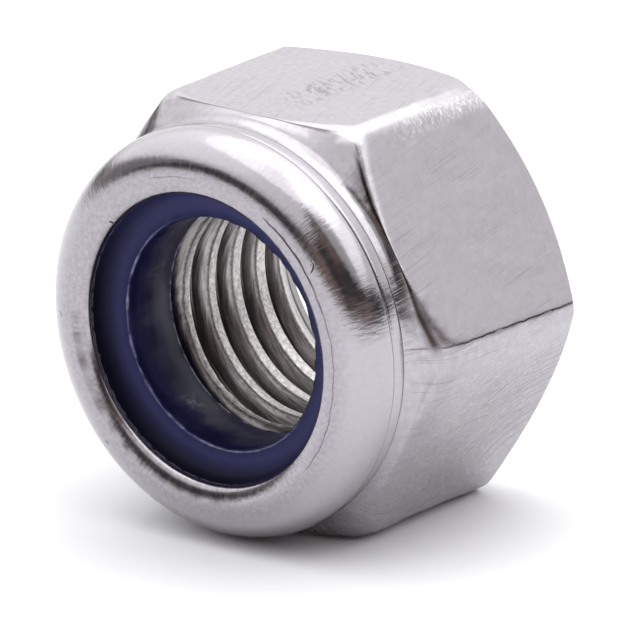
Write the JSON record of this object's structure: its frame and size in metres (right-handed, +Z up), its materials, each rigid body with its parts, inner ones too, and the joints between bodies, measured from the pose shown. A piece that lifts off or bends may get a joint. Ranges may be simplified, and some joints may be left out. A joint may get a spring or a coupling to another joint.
{
  "type": "nylon insert lock nut",
  "caption": "Stainless steel hexagon lock nut with a nylon ring held under a rolled collar, for a metric bolt thread.",
  "frame": {"origin": "on the surface the nut lies on, under the middle of its length and width", "axes": "+Y along the thread axis, out of the bearing face; the rolled collar faces -Y; +X across two corners of the hexagon; +Z up, across two flats"},
  "size_m": [0.0218, 0.014, 0.019],
  "materials": {
    "steel": "satin",
    "nylon": "matt"
  },
  "bodies": {
    "root": {"nut_body": "steel", "nylon_insert": "nylon"}
  },
  "joints": []
}
